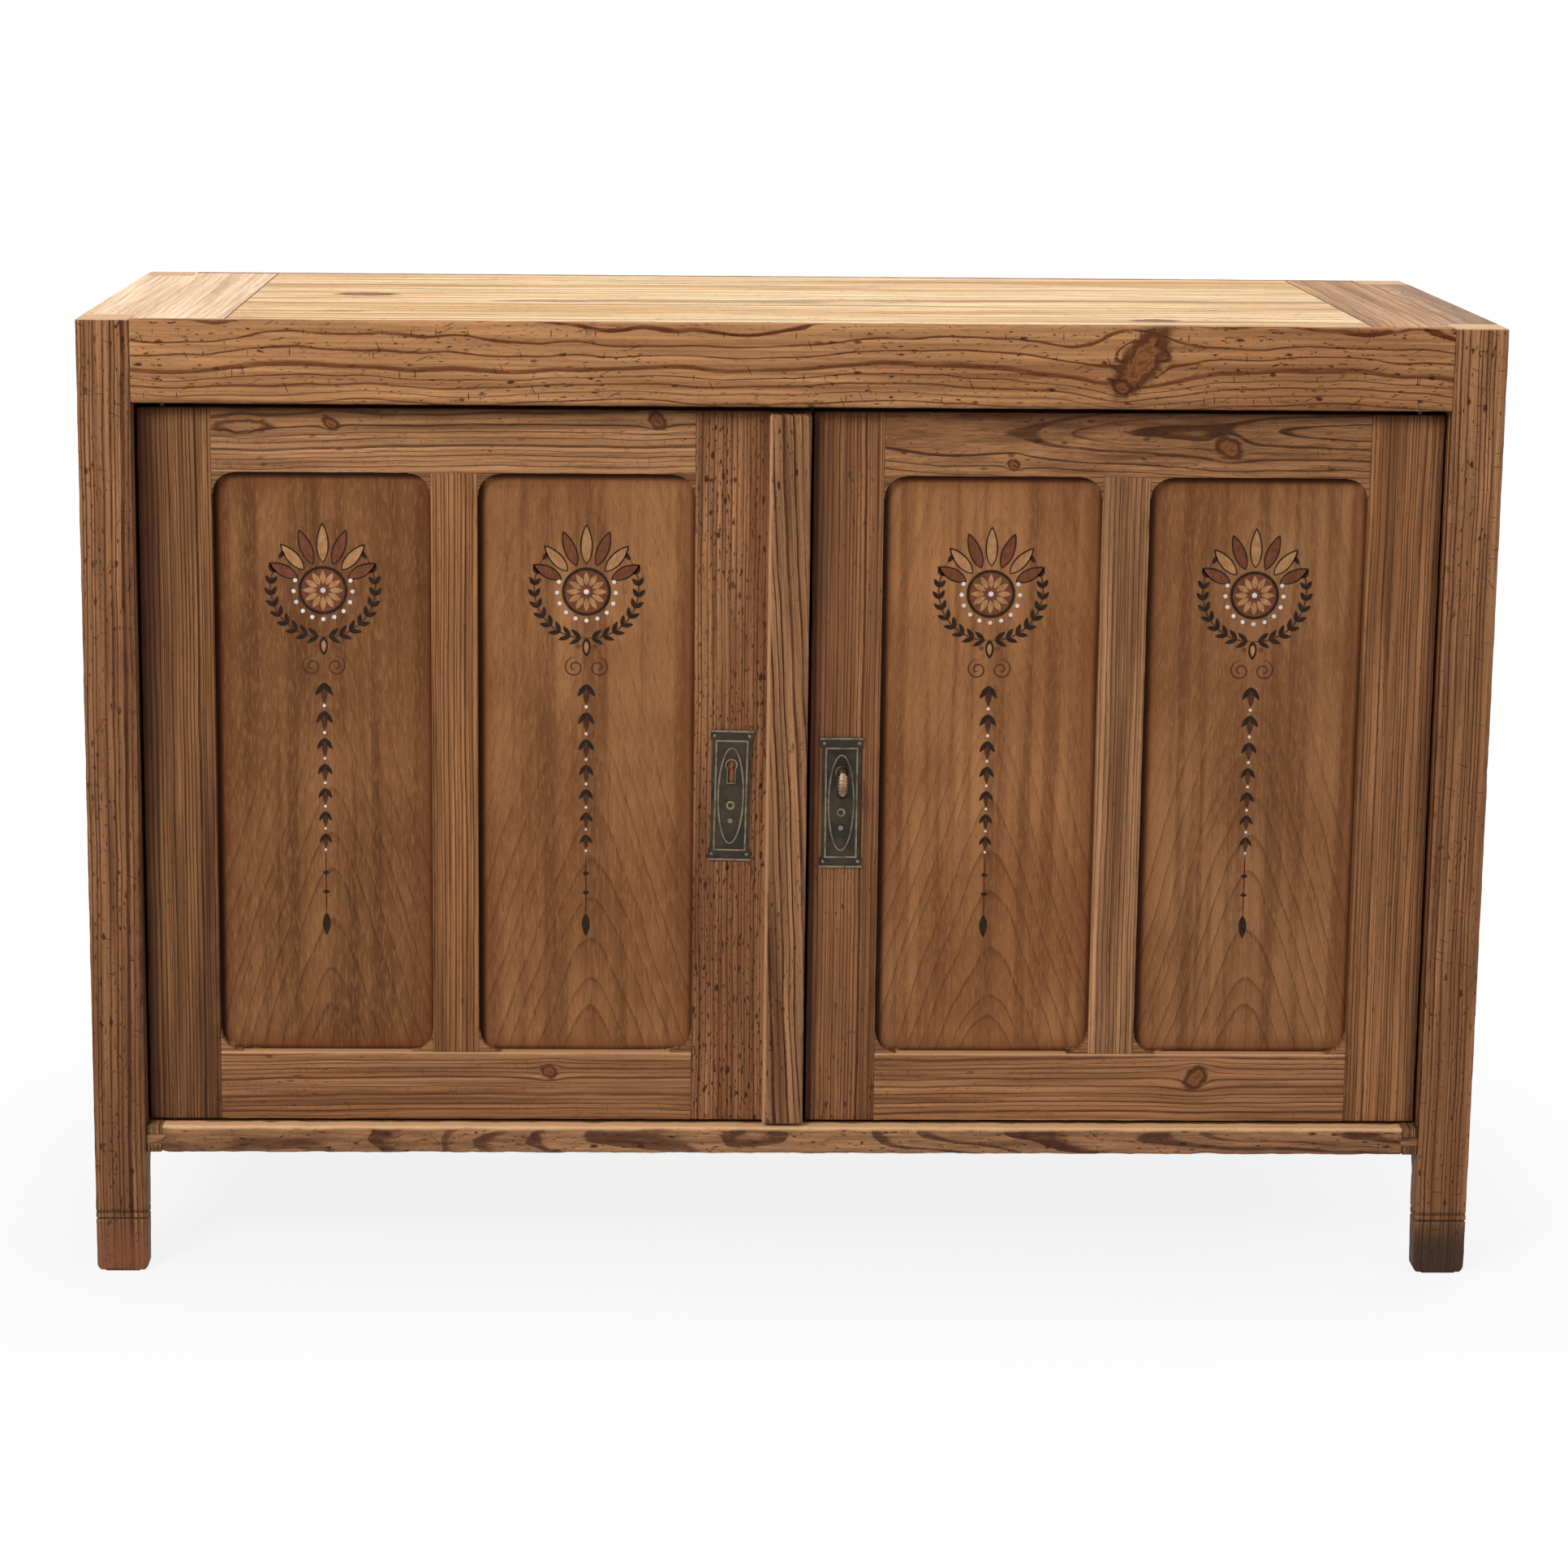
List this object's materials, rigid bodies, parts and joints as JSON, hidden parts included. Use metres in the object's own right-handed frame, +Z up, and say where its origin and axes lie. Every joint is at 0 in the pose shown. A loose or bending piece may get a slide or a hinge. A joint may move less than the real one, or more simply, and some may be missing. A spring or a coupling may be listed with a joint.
{
  "type": "buffet cabinet",
  "caption": "Low buffet cabinet of old pine with framed, panelled doors, a planked top on a thick front beam, square posts as feet, lock plates and a key.",
  "frame": {"origin": "bottom centre of the whole cabinet, the key that stands in front of the doors included", "axes": "+X to the right seen from the front, +Y towards the back, +Z up"},
  "size_m": [1.4, 0.514, 0.975],
  "materials": {
    "pine": "waxed, worn",
    "pine_top": "satin",
    "pine_dark": "dull",
    "veneer": "satin",
    "bronze": "aged bronze",
    "brass": "aged",
    "iron": "dull"
  },
  "bodies": {
    "carcase": {"post_front_left": "pine", "post_front_right": "pine", "post_rear_left": "pine", "post_rear_right": "pine", "front_beam": "pine", "rear_top_rail": "pine", "side_top_rail_left": "pine", "side_top_rail_right": "pine", "side_bottom_rail_left": "pine", "side_bottom_rail_right": "pine", "side_boards_left": "pine_dark", "side_boards_right": "pine_dark", "rear_bottom_rail": "pine", "back_boards": "pine_dark", "base_front_rail": "pine", "base_rear_rail": "pine", "base_side_left": "pine", "base_side_right": "pine", "bottom_boards": "pine_dark", "bottom_cleats": "pine", "base_pegs": "pine_top", "top_end_board_left": "pine_top", "top_end_board_right": "pine_top", "top_planks": "pine_top", "top_bearers": "pine", "shelf_boards": "pine_dark", "shelf_cleats": "pine", "shelf_front_rail": "pine", "door_stop_rail": "pine", "pivot_bushes": "brass"},
    "left_door": {"left_hinge_stile": "pine", "left_lock_stile": "pine", "left_top_rail": "pine", "left_bottom_rail": "pine", "left_muntin": "pine", "left_outer_panel": "veneer", "left_inner_panel": "veneer", "left_corner_blocks": "pine_dark", "cover_strip": "pine", "left_lock_plate": "bronze", "left_plate_nails": "bronze", "left_pivot_pins": "iron", "lock_keeper": "iron", "bolt_staples": "iron"},
    "right_door": {"right_hinge_stile": "pine", "right_lock_stile": "pine", "right_top_rail": "pine", "right_bottom_rail": "pine", "right_muntin": "pine", "right_outer_panel": "veneer", "right_inner_panel": "veneer", "right_corner_blocks": "pine_dark", "right_lock_plate": "bronze", "right_plate_nails": "bronze", "right_pivot_pins": "iron", "lock_case": "iron"},
    "key_body": {"key": "brass"},
    "bolt_body": {"lock_bolt": "iron"},
    "slide_bolt_body": {"slide_bolt": "iron"}
  },
  "joints": [
    {"name": "left_door_hinge", "type": "hinge", "parent": "carcase", "child": "left_door", "pos_m": [-0.621, -0.217, 0.522], "axis": [0, 0, -1], "range_deg": [0, 105]},
    {"name": "right_door_hinge", "type": "hinge", "parent": "carcase", "child": "right_door", "pos_m": [0.621, -0.217, 0.522], "axis": [0, 0, 1], "range_deg": [0, 105]},
    {"name": "key_turn", "type": "hinge", "parent": "right_door", "child": "key_body", "pos_m": [0.053, -0.225, 0.516], "axis": [0, 1, 0], "range_deg": [0, 180]},
    {"name": "lock_bolt_slide", "type": "slide", "parent": "right_door", "child": "bolt_body", "axis": [-1, 0, 0], "range_m": [0, 0.012]},
    {"name": "slide_bolt_slide", "type": "slide", "parent": "left_door", "child": "slide_bolt_body", "axis": [0, 0, 1], "range_m": [0, 0.014]}
  ],
  "couplings": [
    {"joint": "lock_bolt_slide", "follows": "key_turn", "m_per_rad": 0.003819}
  ]
}
